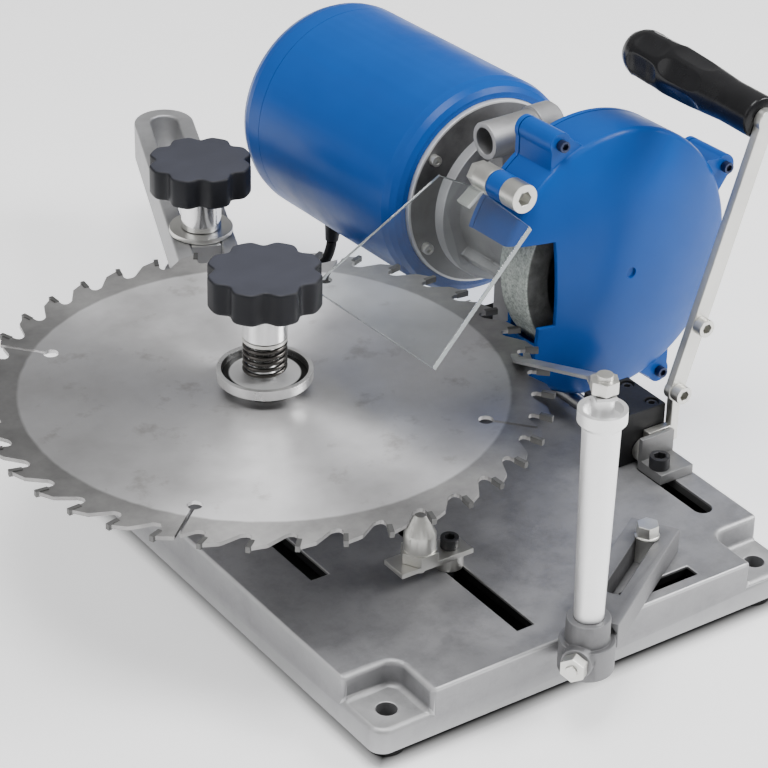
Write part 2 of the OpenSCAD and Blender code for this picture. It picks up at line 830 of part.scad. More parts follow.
module guard_back() {
    y0 = guard_depth + gap;
    color("royalblue") head_frame() difference() {
        union() {
            rod_y(y0, back_t, guard_r);
            guard_ears(y0, y0 + back_t);
        }
        guard_opening(slot_low + 2);
        rod_y(y0 - 1, back_t + 2, bearing_r - 3);
        ear_bores();
    }
}

// Points of the domed front, as [radius, y], shifted back by the skin's thickness
dome_steps = 12;
dome_ball = (pow(dome_r, 2) + pow(dome_h, 2)) / (2 * dome_h);
function dome_y(r) = dome_ball - dome_h - sqrt(pow(dome_ball, 2) - pow(r, 2));
function dome_points(skin) = [for (i = [0 : dome_steps])
    let (r = i * (dome_r - skin) / dome_steps) [r, dome_y(r) + skin]];

module guard_cover() {
    outer = concat(dome_points(0), [[dome_r + 0.64 * edge_r, 0.36 * edge_r], [guard_r, edge_r],
        [guard_r, guard_depth]]);
    inner = concat(dome_points(guard_skin), [[guard_r - guard_skin - 1.1, edge_r + 0.2],
        [guard_r - guard_skin, edge_r + 2], [guard_r - guard_skin, guard_depth]]);
    inner_back = [for (i = [len(inner) - 1 : -1 : 0]) inner[i]];
    mid = concat(dome_points(guard_skin / 2), [[dome_r + 0.9, 2], [guard_r - guard_skin / 2, edge_r + 0.8],
        [guard_r - guard_skin / 2, guard_depth - gap]]);
    lug_a = atan2(lug_z, -lug_x);
    color("royalblue") head_frame() difference() {
        union() {
            difference() {
                union() {
                    turned_y(concat(outer, inner_back));
                    guard_ears(ear_y, guard_depth - gap);
                }
                guard_opening(notch_low);
            }
            intersection() {
                turned_y(concat(mid, [[0, guard_depth - gap]]));
                translate([gap - chord_x, -guard_r, -slot_low - guard_r]) {
                    cube([cheek_t, 2 * guard_r, guard_r]);
                }
            }
            translate([lug_x, 0, lug_z]) {
                rod_y(lug_y, lug_len, lug_r);
                rotate([0, lug_a, 0]) translate([0, lug_y + 1, 1 - lug_r]) cube([15, 10, 2 * lug_r - 2]);
            }
        }
        ear_bores();
        translate([lug_x, 0, lug_z]) rod_y(-5, 30, 4);
        rod_y(-dome_h - 1, 2.5, 3);
    }
}

module guard_screws() {
    color("gainsboro") head_frame() for (a = ear_angles) rotate([0, -a, 0]) translate([ear_out, ear_y, 0]) {
        rotate([90, 0, 0]) socket_screw(4, guard_depth + back_t + gap - ear_y);
    }
}

module motor_flange() {
    color("silver") head_frame() difference() {
        union() {
            rod_y(bell_y, bell_t, lip_r - gap);
            rod_y(bell_y + bell_t - weld, 8, bearing_r + 14);
        }
        rod_y(bell_y - 1, 40, bearing_r + 4);
        for (a = flange_angles) rotate([0, -a, 0]) {
            translate([flange_screw_r, 0, 0]) rod_y(bell_y - 20, 40, 2);
        }
    }
}

module flange_screws() {
    color("gainsboro") head_frame() {
        for (a = flange_angles) rotate([0, -a, 0]) translate([flange_screw_r, bell_y, 0]) {
            rotate([90, 0, 0]) socket_screw(4, bell_t + 6);
        }
    }
}

module motor_housing() {
    inner = motor_r - motor_skin;
    color("royalblue") head_frame() {
        turned_y([[lip_r, motor_y], [motor_r - 6.5, motor_y], [motor_r - 3.4, motor_y + 1.8],
            [motor_r - 1.2, motor_y + 5.5], [motor_r, motor_y + 11], [motor_r, motor_end], [inner, motor_end],
            [inner, motor_y + 12], [lip_r, motor_y + 7]]);
    }
}

// Rounded end of the motor: drop from the barrel's radius, and distance along the axis
cap_curve = [[0, 11], [0.8, 15.5], [3, 20.5], [6.5, 25], [12, 29], [21, 32.5], [35, 35]];

module motor_end_cap() {
    y0 = motor_end + gap;
    inner = motor_r - motor_skin;
    seat = rear_bearing_y + bearing_t;
    color("royalblue") head_frame() {
        turned_y(concat([[inner, y0], [motor_r, y0]], [for (p = cap_curve) [motor_r - p[0], y0 + p[1]]],
            [[0, y0 + cap_h], [0, y0 + cap_h - 3], [bearing_r, y0 + cap_h - 3.6],
            [bearing_r, seat - bearing_t], [bearing_r + 4, seat - bearing_t],
            [bearing_r + 4, y0 + cap_h - 4]],
            [for (i = [len(cap_curve) - 1 : -1 : 0]) [inner - cap_curve[i][0], y0 + cap_curve[i][1] - 2.5]]));
    }
}

module stator() {
    color("dimgray") head_frame() difference() {
        rod_y(motor_y + 32, 62, motor_r - motor_skin);
        rod_y(motor_y + 31, 64, 34);
    }
}

module rotor() {
    color("gray") head_frame() difference() {
        rod_y(motor_y + 33, 60, 33.4);
        rod_y(motor_y + 32, 62, shaft_big_r);
    }
}

module motor_shaft() {
    color("gainsboro") head_frame() {
        rod_y(3, 28, shaft_small_r);
        rod_y(31 - weld, rear_bearing_y + bearing_t - 31 + weld, shaft_big_r);
    }
}

module bearings() {
    color("gainsboro") head_frame() for (y = [front_bearing_y, rear_bearing_y]) difference() {
        rod_y(y, bearing_t, bearing_r);
        rod_y(y - 1, bearing_t + 2, shaft_big_r + run);
    }
}

module cooling_fan() {
    y0 = motor_y + 100;
    color("dimgray") head_frame() difference() {
        union() {
            rod_y(y0, 3, 46);
            rod_y(y0, 12, 14);
            for (i = [0 : 8]) rotate([0, i * 40, 0]) translate([13, y0, -1]) cube([33, 12, 2]);
        }
        rod_y(y0 - 1, 20, shaft_big_r);
    }
}

// Abrasive cup wheel, hollow in front
module grinding_wheel() {
    r = wheel_d / 2;
    color("gray") head_frame() turned_y([[shaft_small_r, 16], [r - 14, 16], [r - 14, 2], [r - 1, 2], [r, 3],
        [r, 25], [r - 1, 26], [shaft_small_r, 26]]);
}

module wheel_flanges() {
    color("gainsboro") head_frame() for (y = [12.5, 26]) difference() {
        rod_y(y, 3.5, 20);
        rod_y(y - 1, 6, shaft_small_r);
    }
}

module wheel_nut() {
    color("gainsboro") head_frame() difference() {
        translate([0, 4.5, 0]) rotate([-90, 0, 0]) linear_extrude(8) hexagon(19);
        rod_y(3, 12, shaft_small_r);
    }
}

// Flat lever: foot on the hinge shaft, strip beside the block, then a leaning bar up to the grip
lever_top_x = hinge_x + 65;
lever_top_z = hinge_z + lever_h;
knee_x = hinge_x + 17.5;
knee_z = hinge_z + 32;
lever_lean = atan2(lever_top_x - knee_x, lever_top_z - knee_z);
lever_bar = sqrt(pow(lever_top_x - knee_x, 2) + pow(lever_top_z - knee_z, 2));
peg_r = 5;
peg_len = grip_len * 0.7;
module head_lever() {
    color("gainsboro") {
        slab_y(lever_y, lever_t) difference() {
            union() {
                translate([hinge_x, hinge_z]) circle(shaft_r + 3);
                translate([hinge_x, hinge_z + 1.5]) square([knee_x - hinge_x + 2.7, 10]);
                translate([knee_x - 2.7, hinge_z + 1.5]) square([5.4, knee_z - hinge_z]);
                translate([knee_x, knee_z]) rotate(-lever_lean) {
                    translate([-lever_w / 2, 0]) square([lever_w, lever_bar]);
                    translate([0, lever_bar]) circle(peg_r + 1.5);
                    circle(lever_w / 2 + 2 * gap);
                }
            }
            translate([hinge_x, hinge_z]) circle(shaft_r);
        }
        translate([lever_top_x, 0, lever_top_z]) rod_y(lever_y + lever_t - weld, peg_len + weld, peg_r);
    }
}

module lever_screws() {
    color("gainsboro") for (s = [0, 39]) {
        translate([knee_x + s * sin(lever_lean), lever_y, knee_z + s * cos(lever_lean)]) {
            rotate([90, 0, 0]) linear_extrude(6) difference() {
                circle(5);
                hexagon(5);
            }
        }
    }
}

// Moulded grip, swollen towards its rounded free end
module grip() {
    r = grip_d / 2;
    y0 = lever_y + lever_t + gap;
    color("dimgray") translate([lever_top_x, y0, lever_top_z]) turned_y([[peg_r, 0], [r - 3.4, 0],
        [r - 2.9, 1.5], [r - 3, 25], [r - 1.2, 50], [r, grip_len - 28], [r - 0.5, grip_len - 13],
        [r - 4, grip_len - 4], [r - 9, grip_len], [0, grip_len], [0, peg_len], [peg_r, peg_len]]);
}

// Clear plate that hangs from its clip, sloping down towards the blade
module shield_frame() {
    head_frame() translate([lug_x, 0, lug_z]) rotate([0, -shield_slope, 0]) children();
}

module eye_shield() {
    color("lightcyan", 0.4) shield_frame() {
        translate([0, shield_y, shield_z]) linear_extrude(shield_t) {
            polygon([[-shield_near, -shield_top_w / 2], [-lug_r - 1, clip_y + clip_len / 2 - shield_y],
                [-shield_near, shield_top_w / 2], [-shield_far, shield_low_w / 2],
                [-shield_far, -shield_low_w / 2]]);
        }
    }
}

module shield_clip() {
    color("gainsboro") shield_frame() difference() {
        union() {
            rod_y(clip_y, clip_len, lug_r);
            translate([-lug_r - 12, clip_y + 1, shield_z - gap / 3 - 2.4]) {
                cube([lug_r + 12, clip_len - 2, 2.4]);
            }
        }
        rod_y(clip_y - 1, clip_len + 2, 4 + run);
    }
}

module shield_screw() {
    color("gainsboro") head_frame() translate([lug_x, 0, lug_z]) {
        translate([0, lug_y, 0]) rotate([90, 0, 0]) difference() {
            cylinder(h = stud_head, r = lug_r);
            translate([0, 0, stud_head / 2]) linear_extrude(stud_head) hexagon(7);
        }
        rod_y(lug_y - weld, clip_y + clip_len - lug_y + 6, 4);
        translate([0, clip_y + clip_len + gap, 0]) rotate([-90, 0, 0]) linear_extrude(5) hexagon(13);
    }
}

module cable_gland() {
    color("dimgray") head_frame() rotate([0, gland_turn, 0]) difference() {
        translate([0, gland_y, -motor_r - gland_h]) cylinder(h = gland_h + 2, r1 = 4, r2 = 6.5);
        rod_y(gland_y - 10, 20, motor_r + gap / 3);
    }
}

module mains_cord() {
    color("dimgray") tube(route, cord_d / 2, 10);
}

// Coil on the floor: one layer winds in, climbs in half a turn, and the next winds out
loop_steps = 24;
layer_rise = cord_d + 0.6;
in_steps = coil_turns * loop_steps;
climb_steps = loop_steps / 2;
coil_steps = 2 * in_steps + climb_steps;
function coil_in(i) = min(i, coil_steps - i);
function coil_up(i) = min(max(i - in_steps, 0), climb_steps) / climb_steps;
function coil_point(i) = let (r = coil_r - coil_step * coil_in(i) / loop_steps, a = 90 + i * 360 / loop_steps)
    [coil_x + r * cos(a), coil_y + r * sin(a), cord_lift + layer_rise * coil_up(i)];
coil_end = coil_point(coil_steps);
coil_tail = 4 * cord_d;
coil_path = concat([[coil_x + cord_d, coil_y + coil_r, cord_lift]],
    [for (i = [0 : coil_steps]) coil_point(i)], [coil_end + coil_tail * [1, 0, 0]]);
coil_gap = min(coil_step, layer_rise) - cord_d;
function path_length(path) = len(path) < 2 ? 0 : [for (i = 1, sum = norm(path[1] - path[0]); i < len(path);
    i = i + 1, sum = sum + (i < len(path) ? norm(path[i] - path[i - 1]) : 0)) sum][len(path) - 2];
echo(coil_gap = coil_gap, cord_length = path_length(route) + path_length(coil_path));

module cord_coil() {
    color("dimgray") tube(coil_path, cord_d / 2, 6);
}

module plug() {
    body_h = coil_end[2] - gap;
    color("dimgray") translate(coil_end + (coil_tail + gap) * [1, 0, 0]) {
        rotate([0, 90, 0]) cylinder(h = 14, r1 = cord_d / 2 + 0.5, r2 = 6);
        translate([14 - weld, -12, -body_h]) cube([22, 24, 2 * body_h]);
        for (s = [-1, 1]) translate([35, s * 6 - 0.8, -3.2]) cube([18, 1.6, 6.4]);
    }
}

base_plate();
rubber_feet();
pivot_stud();
hinge_blocks();
block_screws();
hinge_bracket();
bracket_screw();
swing_slider();
blade_arm();
blade_post();
blade_seat();
arm_washer();
arm_lock_hub();
arm_lock_knob();
saw_blade();
carbide_tips();
clamp_cone();
clamp_spring();
spring_washer();
clamp_hub();
clamp_knob();
stop_plate();
stop_pin();
stop_screw();
stop_spacer();
finger_bracket();
bracket_bolt();
bracket_slider();
finger_post();
post_clamp_bolt();
finger_bolt();
tooth_finger();
hinge_shaft();
head_casting();
guard_back();
guard_cover();
guard_screws();
motor_flange();
flange_screws();
motor_housing();
motor_end_cap();
stator();
rotor();
motor_shaft();
bearings();
cooling_fan();
grinding_wheel();
wheel_flanges();
wheel_nut();
head_lever();
lever_screws();
grip();
eye_shield();
shield_clip();
shield_screw();
cable_gland();
mains_cord();
cord_coil();
plug();
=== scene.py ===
"""Looks of the circular saw blade sharpener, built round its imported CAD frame. Metres, +Z up."""
import json
import math

import bmesh
import bpy
from mathutils import Matrix, Vector


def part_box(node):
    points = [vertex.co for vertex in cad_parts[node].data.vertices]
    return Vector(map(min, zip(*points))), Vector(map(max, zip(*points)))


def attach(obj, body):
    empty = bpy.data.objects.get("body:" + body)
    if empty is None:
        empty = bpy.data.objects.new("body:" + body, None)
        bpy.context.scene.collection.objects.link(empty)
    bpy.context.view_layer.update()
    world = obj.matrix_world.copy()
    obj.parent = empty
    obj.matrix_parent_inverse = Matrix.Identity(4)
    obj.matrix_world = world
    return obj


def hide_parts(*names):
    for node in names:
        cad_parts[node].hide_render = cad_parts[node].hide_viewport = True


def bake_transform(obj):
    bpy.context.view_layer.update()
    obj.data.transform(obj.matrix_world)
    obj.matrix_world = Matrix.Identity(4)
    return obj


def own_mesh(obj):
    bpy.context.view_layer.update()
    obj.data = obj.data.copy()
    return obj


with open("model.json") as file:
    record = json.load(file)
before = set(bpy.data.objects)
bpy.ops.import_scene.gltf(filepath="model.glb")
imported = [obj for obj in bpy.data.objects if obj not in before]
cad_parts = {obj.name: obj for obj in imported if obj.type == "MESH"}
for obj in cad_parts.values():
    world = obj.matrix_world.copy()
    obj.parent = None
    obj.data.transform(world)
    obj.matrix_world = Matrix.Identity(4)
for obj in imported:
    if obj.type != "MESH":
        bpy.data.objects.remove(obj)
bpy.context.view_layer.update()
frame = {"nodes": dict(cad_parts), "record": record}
nodes = frame["nodes"]
slot_of = {p["node"]: p["material_slot"] for p in frame["record"]["subparts"]}
body_of = {n: b for b, names in frame["record"]["behaviour"]["bodies"].items() for n in names}
MM = 0.001

# Places in the CAD frame: blade centre, arm pivot, a point on the motor's axis and the base's half sizes
BLADE = Vector((-71.0425, 54.0, 97.0)) * MM
STUD = Vector((9.7444, 250.0038, 0.0)) * MM
HEAD = Vector((132.5, 23, 125)) * MM
HEAD_TILT = math.radians(3.0)
DECK_Z, PAD_Z = 36 * MM, 22 * MM
BASE_X, BASE_Y = 130.5 * MM, 139 * MM
BENCH_HOLE_X, BENCH_HOLE_Y = 115.5 * MM, 124 * MM

# Camera, at the photograph's viewing angle
CAMERA_AT = Vector((-0.7594, -1.0306, 0.863))
CAMERA_BACK = Vector((-0.49489, -0.70308, 0.51064)).normalized()
CAMERA_ROLL = math.radians(1.3008)
CAMERA_LENS, CAMERA_SENSOR = 135.75, 36


def make_camera():
    right = Vector((0, 0, 1)).cross(CAMERA_BACK).normalized()
    up = CAMERA_BACK.cross(right)
    c, s = math.cos(CAMERA_ROLL), math.sin(CAMERA_ROLL)
    right, up = c * right + s * up, c * up - s * right
    data = bpy.data.cameras.new("camera")
    data.lens, data.sensor_width = CAMERA_LENS, CAMERA_SENSOR
    data.clip_start, data.clip_end = 0.05, 50
    cam = bpy.data.objects.new("camera", data)
    turn = Matrix((right, up, CAMERA_BACK)).transposed().to_4x4()
    cam.matrix_world = Matrix.Translation(CAMERA_AT) @ turn
    bpy.context.scene.collection.objects.link(cam)
    bpy.context.scene.camera = cam


make_camera()


# Mesh building
def ring_faces(bm, rings):
    """Joins rings of vertices, each with the same count, into a skin, with a face over each end."""
    for a, b in zip(rings, rings[1:]):
        for i in range(len(a)):
            j = (i + 1) % len(a)
            bm.faces.new((a[i], a[j], b[j], b[i]))
    bm.faces.new(rings[0][::-1])
    bm.faces.new(rings[-1])
    bmesh.ops.recalc_face_normals(bm, faces=bm.faces)


def tube(path, radius, sides):
    """A round tube along a path of points, with closed ends."""
    bm = bmesh.new()
    rings, side = [], None
    for i, p in enumerate(path):
        ahead = (path[min(i + 1, len(path) - 1)] - path[max(i - 1, 0)]).normalized()
        side = ahead.orthogonal() if side is None else side - ahead * side.dot(ahead)
        side.normalize()
        up = ahead.cross(side)
        rings.append([bm.verts.new(p + radius * (math.cos(a) * side + math.sin(a) * up))
                      for a in (math.tau * k / sides for k in range(sides))])
    ring_faces(bm, rings)
    return bm


def shaped(sections, sides):
    """A solid along Z from (z, radius) pairs, where a radius may be a call on the angle."""
    bm = bmesh.new()
    rings = []
    for z, radius in sections:
        angles = [math.tau * k / sides for k in range(sides)]
        rings.append([bm.verts.new((r * math.cos(a), r * math.sin(a), z))
                      for a, r in ((a, radius(a) if callable(radius) else radius) for a in angles)])
    ring_faces(bm, rings)
    return bm


def piece(name, bm, body, finish, replaces=(), sharp=38.0):
    """Makes an object of a mesh, smooth apart from its sharp edges, and joins it to a CAD body."""
    mesh = bpy.data.meshes.new(name)
    bm.to_mesh(mesh)
    bm.free()
    if "custom_normal" in mesh.attributes:
        mesh.attributes.remove(mesh.attributes["custom_normal"])
    mesh.shade_smooth()
    mesh.set_sharp_from_angle(angle=math.radians(sharp))
    obj = bpy.data.objects.new(name, mesh)
    bpy.context.scene.collection.objects.link(obj)
    mesh.materials.append(finish)
    if body:
        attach(obj, body)
    if replaces:
        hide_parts(*replaces)
    return obj


WELD, FLAT_ANGLE, EDGE_ANGLE = 2e-6, math.radians(0.4), math.radians(33)
LEVEL_UP, LEVEL_AREA = 0.999, 2e-4


def rounded(node, finish, passes, level=False):
    """Shows a copy of a CAD node with its edges rounded: each pass is (width, segments, test of an edge).

    With level, its wide level faces are shaded flat."""
    bm = bmesh.new()
    bm.from_mesh(nodes[node].data)
    bmesh.ops.remove_doubles(bm, verts=bm.verts, dist=WELD)
    bmesh.ops.dissolve_limit(bm, angle_limit=FLAT_ANGLE, verts=bm.verts, edges=bm.edges)
    for width, segments, test in passes:
        edges = [e for e in bm.edges if len(e.link_faces) == 2
                 and e.calc_face_angle(0.0) > EDGE_ANGLE and test(e)]
        bmesh.ops.bevel(bm, geom=edges, offset=width, segments=segments, profile=0.5, affect="EDGES",
                        clamp_overlap=False, loop_slide=True, offset_type="OFFSET")
    shown = piece(node + "_edged", bm, body_of[node], finish, [node])
    mesh = shown.data
    for face in mesh.polygons if level else ():
        if face.normal.z > LEVEL_UP and face.area > LEVEL_AREA:
            for loop in face.loop_indices:
                mesh.edges[mesh.loops[loop].edge_index].use_edge_sharp = True
    even = shown.modifiers.new("even_normals", "WEIGHTED_NORMAL")
    even.mode, even.weight, even.keep_sharp = "FACE_AREA", 100, True
    return shown


def any_edge(edge):
    return True


# Materials
class Nodes:
    """A material's node tree with short calls for adding and joining nodes."""

    def __init__(self, name):
        self.mat = bpy.data.materials.new(name)
        self.mat.use_nodes = True
        self.tree = self.mat.node_tree
        self.shader = self.tree.nodes["Principled BSDF"]
        self.place = self.add("ShaderNodeTexCoord").outputs["Object"]

    def add(self, kind, inputs=(), **settings):
        node = self.tree.nodes.new(kind)
        for key, value in settings.items():
            setattr(node, key, value)
        for key, value in dict(inputs).items():
            self.set(node.inputs[key], value)
        return node

    def set(self, socket, value):
        if isinstance(value, bpy.types.NodeSocket):
            self.tree.links.new(value, socket)
        else:
            socket.default_value = value

    def shade(self, **values):
        for key, value in values.items():
            self.set(self.shader.inputs[key.replace("_", " ")], value)

    def fixed(self, key, value):
        """Sets a constant on one of the shader's own sockets."""
        self.shader.inputs[key].default_value = value

    def parts(self, vector):
        node = self.add("ShaderNodeSeparateXYZ", {"Vector": vector})
        return node.outputs["X"], node.outputs["Y"], node.outputs["Z"]

    def place_from(self, point):
        """X, Y and Z measured from a point of the frame."""
        node = self.add("ShaderNodeMapping", {"Vector": self.place})
        node.inputs["Location"].default_value = -point
        return self.parts(node.outputs["Vector"])

    def normal(self):
        return self.parts(self.add("ShaderNodeNewGeometry").outputs["Normal"])

    def noise(self, scale, detail=4.0, rough=0.55, at=None):
        return self.add("ShaderNodeTexNoise", {"Vector": at or self.place, "Scale": scale, "Detail": detail,
                                               "Roughness": rough}).outputs["Fac"]

    def ramp(self, fac, stops):
        node = self.add("ShaderNodeValToRGB", {"Fac": fac})
        ramp = node.color_ramp
        while len(ramp.elements) < len(stops):
            ramp.elements.new(0.5)
        for element, (at, colour) in zip(ramp.elements, stops):
            element.position = at
            element.color = (*colour, 1)
        return node.outputs["Color"]

    def scaled(self, fac, source, target=(0.0, 1.0)):
        """Maps a value from one range, clamped, to another."""
        return self.add("ShaderNodeMapRange", {"Value": fac, "From Min": source[0], "From Max": source[1],
                                               "To Min": target[0], "To Max": target[1]}).outputs["Result"]

    def math(self, op, a, b=0.0):
        node = self.add("ShaderNodeMath", operation=op)
        self.set(node.inputs[0], a)
        self.set(node.inputs[1], b)
        return node.outputs["Value"]

    def weighed(self, a, share_a, b, share_b):
        return self.math("ADD", self.math("MULTIPLY", a, share_a), self.math("MULTIPLY", b, share_b))

    def length(self, a, b):
        return self.math("SQRT", self.weighed(a, a, b, b))

    def mix(self, fac, a, b, blend="MIX"):
        node = self.add("ShaderNodeMix", data_type="RGBA", blend_type=blend)
        for key, value in (("Factor", fac), ("A", a), ("B", b)):
            socket = next(s for s in node.inputs if s.name == key and s.enabled)
            self.set(socket, (*value, 1) if isinstance(value, tuple) else value)
        return next(s for s in node.outputs if s.enabled)

    def bump(self, height, strength, distance):
        out = self.add("ShaderNodeBump", {"Height": height, "Strength": strength, "Distance": distance})
        self.shade(Normal=out.outputs["Normal"])

    def edges(self, low=0.52, high=0.62):
        point = self.add("ShaderNodeNewGeometry").outputs["Pointiness"]
        return self.scaled(point, (low, high))


MID_NOISE = (0.3, 0.7)  # the part of a noise's range that holds most of its values


def tone(colour, k):
    return tuple(min(1.0, c * k) for c in colour)


def metal(name, colour, rough, grain, depth, metallic=1.0, vary=0.14):
    """Plated or cast metal: mottled tone, uneven gloss, fine pits and lighter worn edges."""
    n = Nodes(name)
    cloud = n.noise(38, 6)
    fine = n.noise(grain, 8, 0.65)
    body = n.ramp(cloud, [(0.25, tone(colour, 1 - vary)), (0.75, tone(colour, 1 + vary))])
    worn = n.math("MULTIPLY", n.edges(), 0.25)
    n.shade(Base_Color=n.mix(worn, body, tone(colour, 1.5)), Metallic=metallic,
            Roughness=n.scaled(n.weighed(cloud, 0.6, fine, 0.4), MID_NOISE, rough))
    n.bump(fine, 0.35, depth)
    return n.mat


WALL_SHADE = (0.7, 0.7, 0.71)
RIM_WIDTH = 3.5 * MM
PAD_X, PAD_Y = 98 * MM, 106.5 * MM


def deck_tones(n, body, worn, top_tone):
    """The base's tones: painted shade on its side walls, its own tone on the deck, and painted shade in the slots
    below the deck.
    """
    up = n.normal()[2]
    x, y, height = n.parts(n.place)
    # painted shade: steep side walls are darkened
    body = n.mix(n.scaled(up, (0.2, 0.7)), n.mix(1.0, body, WALL_SHADE, "MULTIPLY"), body)
    top = n.math("MULTIPLY", n.scaled(up, (0.8, 0.97)), n.scaled(height, (DECK_Z - 3 * MM, DECK_Z - 0.5 * MM)))
    body = n.mix(top, body, top_tone)
    worn = n.math("MULTIPLY", worn, n.math("SUBTRACT", 1.0, top))
    wide, long = n.math("ABSOLUTE", x), n.math("ABSOLUTE", y)
    inside = n.math("MULTIPLY", n.math("LESS_THAN", wide, BASE_X - RIM_WIDTH),
                    n.math("LESS_THAN", long, BASE_Y - RIM_WIDTH))
    pads = n.math("MULTIPLY", n.math("GREATER_THAN", wide, PAD_X), n.math("GREATER_THAN", long, PAD_Y))
    # painted shade: faces sunk below the deck, inside the rim and off the pads, go near black
    sunk_shade = n.math("MULTIPLY", n.math("LESS_THAN", height, DECK_Z - 1.5 * MM), n.math("SUBTRACT", 1.0, pads))
    return n.mix(n.math("MULTIPLY", inside, sunk_shade), body, (0.02, 0.02, 0.02)), worn


def casting(name, colour, deck=None):
    """Sand cast alloy: grainy skin with pits and stains, lighter on its edges as rubbed wear and as a painted edge
    highlight. A deck is for the base.
    """
    n = Nodes(name)
    cloud, stain = n.noise(22, 6, 0.6), n.noise(70, 8, 0.7)
    grain = n.noise(520, 6, 0.7)
    body = n.ramp(cloud, [(0.28, tone(colour, 0.86)), (0.72, tone(colour, 1.12))])
    # lighter edges: partly rubbed wear, partly a painted highlight along the rims
    worn = n.math("MULTIPLY", n.edges(0.51, 0.56), 0.6)
    if deck:
        top_tone = n.ramp(cloud, [(0.28, tone(deck, 0.88)), (0.72, tone(deck, 1.14))])
        body, worn = deck_tones(n, body, worn, top_tone)
    body = n.mix(0.55, body, n.ramp(stain, [(0.3, (0.62, 0.62, 0.63)), (0.55, (1, 1, 1))]), "MULTIPLY")
    n.shade(Base_Color=n.mix(worn, body, tone(colour, 1.6)), Metallic=0.8,
            Roughness=n.scaled(n.weighed(cloud, 0.5, stain, 0.5), MID_NOISE, (0.46, 0.62)))
    n.bump(n.math("ADD", grain, n.math("MULTIPLY", stain, 0.8)), 0.4, 0.25 * MM)
    return n.mat


def paint(name, colour):
    """Gloss paint on a casting: faint orange peel, slight change of tone, thin on its edges."""
    n = Nodes(name)
    cloud, skin = n.noise(14, 4), n.noise(170, 3, 0.5)
    body = n.ramp(cloud, [(0.3, tone(colour, 0.9)), (0.7, tone(colour, 1.08))])
    n.shade(Base_Color=n.mix(n.math("MULTIPLY", n.edges(), 0.25), body, tone(colour, 1.6)),
            Roughness=n.scaled(n.noise(60, 5), MID_NOISE, (0.28, 0.4)))
    n.fixed("Specular IOR Level", 0.2)
    n.bump(skin, 0.25, 0.08 * MM)
    return n.mat


def plastic(name, colour, rough, grain=900.0, depth=0.1 * MM, top_sheen=None):
    """Moulded plastic or rubber with a fine spark grain. The optional tone is a painted sheen on its level, upward
    faces.
    """
    n = Nodes(name)
    cloud, fine = n.noise(45, 5), n.noise(grain, 4, 0.6)
    body = n.ramp(cloud, [(0.3, tone(colour, 0.8)), (0.7, tone(colour, 1.25))])
    # painted sheen: upward faces get a lighter bluish tone, as if lit from above
    if top_sheen:
        sheen_tone = n.ramp(cloud, [(0.3, tone(top_sheen, 0.9)), (0.7, tone(top_sheen, 1.1))])
        body = n.mix(n.scaled(n.normal()[2], (0.75, 0.98)), body, sheen_tone)
    n.shade(Base_Color=n.mix(n.math("MULTIPLY", n.edges(), 0.15), body, tone(colour, 2.5)),
            Roughness=n.scaled(cloud, MID_NOISE, rough))
    n.fixed("Specular IOR Level", 0.28)
    n.bump(fine, 0.3, depth)
    return n.mat


def clear_sheet(name, colour, through, rough):
    """Clear sheet with a light haze and rubbed patches, letting a share of the light through."""
    n = Nodes(name)
    haze = n.noise(45, 6)
    n.shade(Base_Color=n.ramp(haze, [(0.3, tone(colour, 0.95)), (0.7, colour)]),
            Roughness=n.scaled(haze, (0.35, 0.7), (rough * 0.5, rough * 1.5)))
    n.fixed("IOR", 1.49)
    n.fixed("Transmission Weight", through)
    return n.mat


def abrasive(name):
    """Bonded grit: pale grains with dark pores between them, and its front face painted dark as shade."""
    n = Nodes(name)
    pore = n.add("ShaderNodeTexVoronoi", {"Vector": n.place, "Scale": 850.0}).outputs["Distance"]
    grain = n.ramp(n.noise(420, 6), [(0.3, (0.36, 0.40, 0.37)), (0.7, (0.66, 0.70, 0.66))])
    pores = n.ramp(pore, [(0.45, (1, 1, 1)), (0.75, (0.45, 0.46, 0.45))])
    # painted shade: faces turned towards the front get a near-black tone
    front = n.scaled(n.normal()[1], (-0.9, -0.6), (1.0, 0.0))
    front_shade = n.ramp(n.noise(160, 6), [(0.3, (0.035, 0.036, 0.035)), (0.7, (0.09, 0.092, 0.09))])
    n.shade(Base_Color=n.mix(front, n.mix(0.6, grain, pores, "MULTIPLY"), front_shade),
            Roughness=n.scaled(pore, (0.0, 0.8), (0.8, 0.95)))
    n.bump(pore, 0.6, 0.3 * MM)
    return n.mat


BAND_FROM, BAND_TO = 126.8 * MM, 128.4 * MM
BAND_WAVER = 1.2 * MM


def disc_steel(name):
    """Ground saw plate: fine rings round the blade's centre, stains, and a darker band at the teeth."""
    n = Nodes(name)
    x, y, _ = n.place_from(BLADE)
    radius = n.length(x, y)
    ring_at = n.add("ShaderNodeCombineXYZ", {"X": n.math("MULTIPLY", radius, 60.0)})
    rings = n.noise(38, 5, 0.7, ring_at.outputs["Vector"])
    cloud, stain = n.noise(14, 6, 0.62), n.noise(48, 7, 0.65)
    plate = n.ramp(cloud, [(0.25, (0.58, 0.57, 0.57)), (0.55, (0.78, 0.775, 0.785)), (0.8, (0.9, 0.895, 0.91))])
    plate = n.mix(n.math("MULTIPLY", rings, 0.3), plate, (0.42, 0.41, 0.40))
    plate = n.mix(0.6, plate, n.ramp(stain, [(0.27, (0.55, 0.52, 0.49)), (0.42, (1, 1, 1))]), "MULTIPLY")
    waver = n.math("MULTIPLY", n.noise(120, 3), BAND_WAVER)
    band = n.scaled(n.math("ADD", radius, waver), (BAND_FROM, BAND_TO))
    teeth = n.ramp(stain, [(0.3, (0.29, 0.286, 0.284)), (0.7, (0.43, 0.424, 0.42))])
    n.shade(Base_Color=n.mix(band, plate, teeth), Metallic=1.0,
            Roughness=n.scaled(n.weighed(cloud, 0.6, rings, 0.4), MID_NOISE, (0.34, 0.5)))
    n.fixed("Anisotropic", 0.8)
    n.fixed("Anisotropic Rotation", 0.25)
    n.shade(Tangent=n.add("ShaderNodeTangent", direction_type="RADIAL", axis="Z").outputs["Tangent"])
    n.bump(rings, 0.2, 0.05 * MM)
    return n.mat


